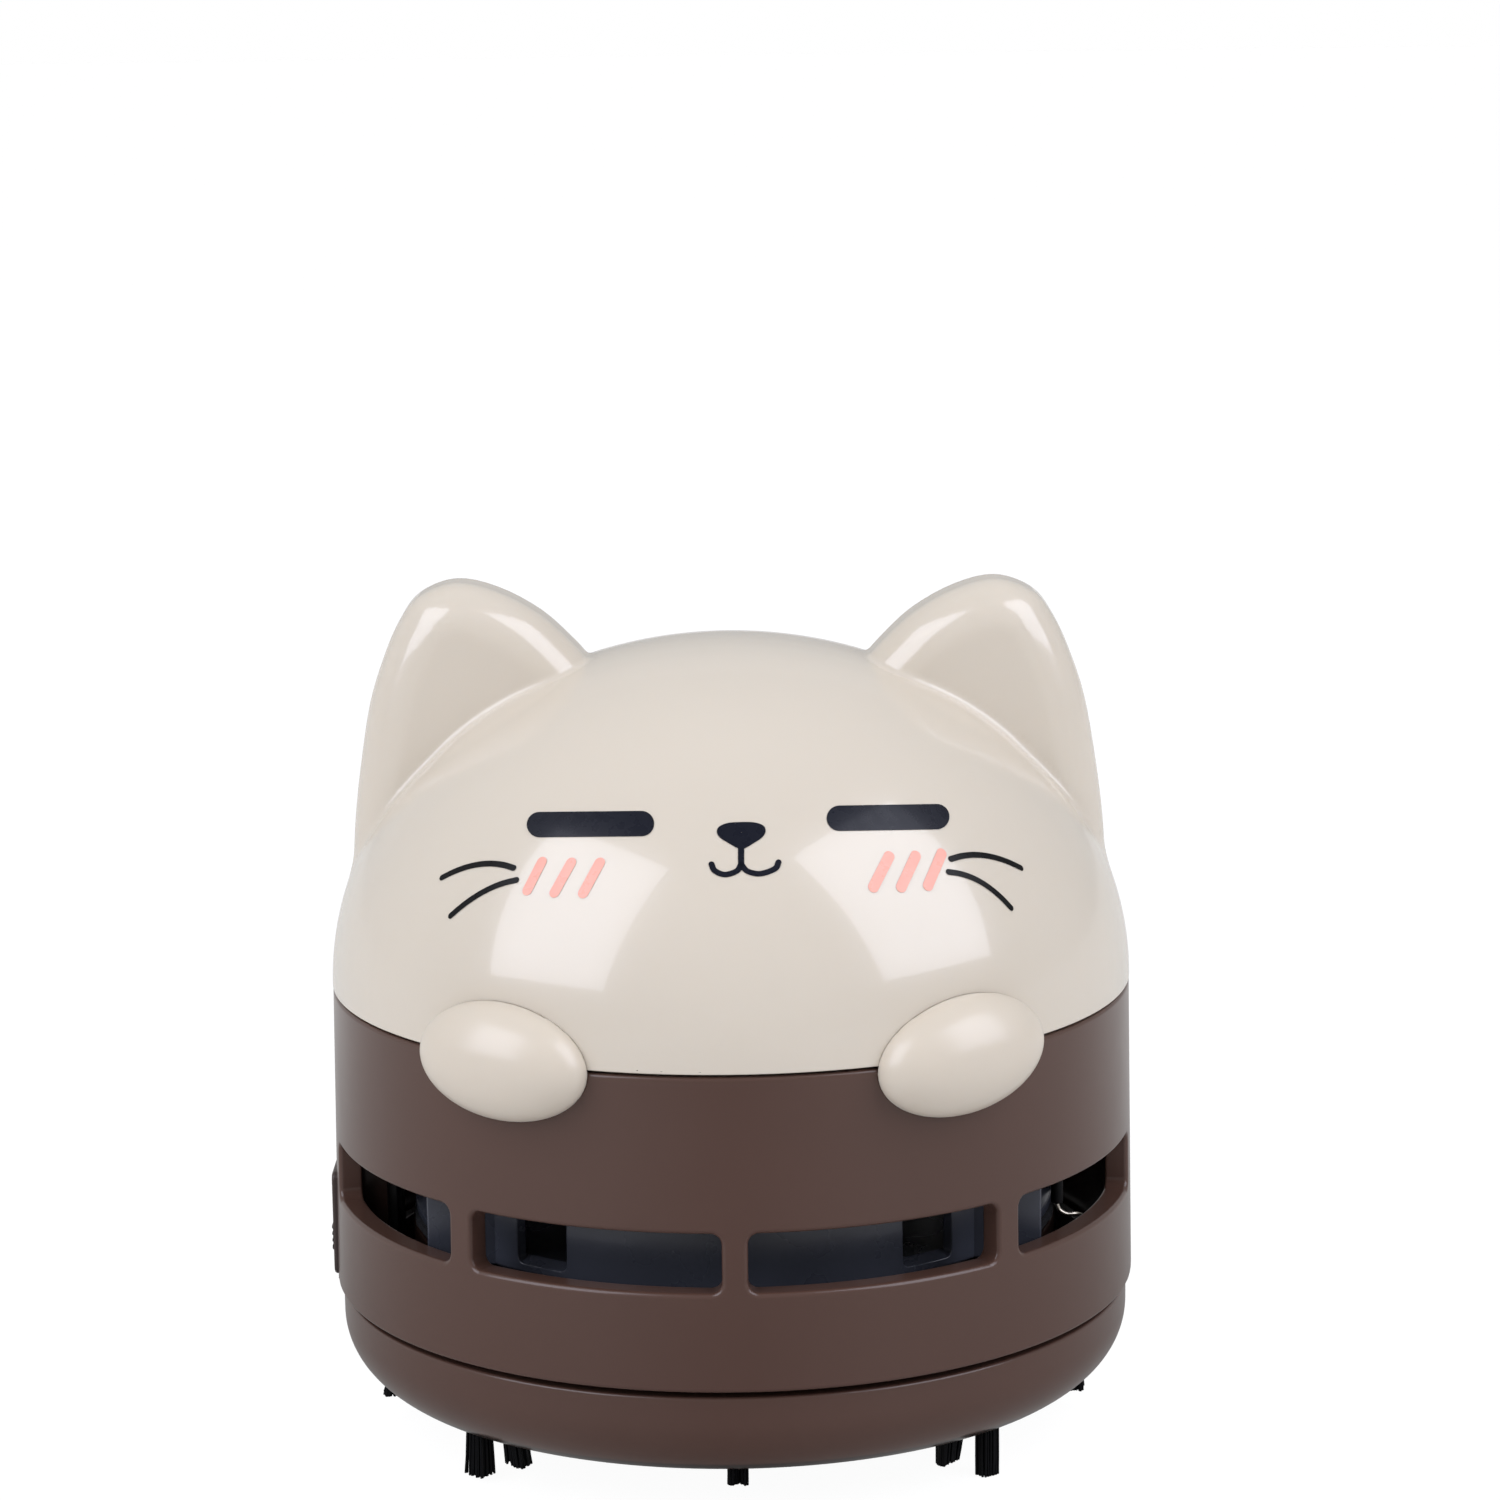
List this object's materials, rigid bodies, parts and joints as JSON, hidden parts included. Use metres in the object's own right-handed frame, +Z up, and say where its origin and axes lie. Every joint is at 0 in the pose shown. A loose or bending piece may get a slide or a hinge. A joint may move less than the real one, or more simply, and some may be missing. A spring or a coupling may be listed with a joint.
{
  "type": "desktop mini vacuum cleaner",
  "caption": "Round cordless table-crumb vacuum with a cat's head: lift-off dome, vented barrel with a slide switch, fan and motor, and a pull-off dust cup on bristle tufts.",
  "frame": {"origin": "on the table under the barrel's axis, at the height of the long bristle tips", "axes": "+Z up along the barrel's axis; -Y is the side with the face; +X is the right-hand side as the face is looked at"},
  "size_m": [0.088, 0.0874, 0.0918],
  "materials": {
    "cream_gloss": "gloss, moulded",
    "brown_satin": "satin, moulded",
    "dark_brown": "satin, moulded",
    "black_bristle": "drawn nylon strands",
    "black_plastic": "satin, moulded",
    "blue_black_gloss": "gloss, moulded",
    "filter_cloth": "fine net",
    "seal_foam": "matte foam rubber",
    "steel": "plated",
    "nickel_plate": "nickel plated strip",
    "iron_core": "stacked sheet with enamelled windings",
    "ferrite": "dull ceramic",
    "cell_wrap": "printed sleeve",
    "red_wire": "smooth insulation",
    "black_wire": "smooth insulation",
    "tinned_wire": "bright tin"
  },
  "bodies": {
    "body": {"body_shell": "brown_satin", "fan_housing": "blue_black_gloss", "cup_seal": "seal_foam", "housing_screw_1": "steel", "housing_screw_2": "steel", "housing_screw_3": "steel", "motor_screw_1": "steel", "motor_screw_2": "steel", "motor_can": "steel", "motor_end_cap": "black_plastic", "motor_terminal_1": "nickel_plate", "motor_terminal_2": "nickel_plate", "motor_magnet_1": "ferrite", "motor_magnet_2": "ferrite", "battery_tray": "black_plastic", "battery_cell_1": "cell_wrap", "battery_cell_2": "cell_wrap", "contact_spring_1": "steel", "contact_spring_2": "steel", "contact_plus": "nickel_plate", "contact_minus": "nickel_plate", "contact_bridge": "nickel_plate", "tray_screw_1": "steel", "tray_screw_2": "steel", "switch_plate": "dark_brown", "switch_block": "black_plastic", "switch_pin_1": "nickel_plate", "switch_pin_2": "nickel_plate", "lead_battery_switch": "red_wire", "lead_switch_motor": "red_wire", "lead_battery_motor": "black_wire", "lead_can": "black_wire", "lead_can_tip": "tinned_wire"},
    "head": {"head_shell": "cream_gloss", "paw_left": "cream_gloss", "paw_right": "cream_gloss"},
    "base": {"base_cup": "brown_satin", "filter_frame": "black_plastic", "filter_net": "filter_cloth", "brush_front": "black_bristle", "brush_rear": "black_bristle", "brush_left": "black_bristle", "brush_right": "black_bristle"},
    "fan": {"impeller": "black_plastic", "motor_shaft": "steel", "motor_rotor": "iron_core"},
    "switch_slider": {"switch_knob": "dark_brown"}
  },
  "joints": [
    {"name": "head_lift", "type": "slide", "parent": "body", "child": "head", "axis": [0, 0, 1], "range_m": [0, 0.04]},
    {"name": "base_drop", "type": "slide", "parent": "body", "child": "base", "axis": [0, 0, -1], "range_m": [0, 0.03]},
    {"name": "fan_spin", "type": "hinge", "parent": "body", "child": "fan", "pos_m": [0, 0, 0.0335], "axis": [0, 0, 1], "continuous": true},
    {"name": "switch_slide", "type": "slide", "parent": "body", "child": "switch_slider", "axis": [0, 0, 1], "range_m": [0, 0.004]}
  ]
}
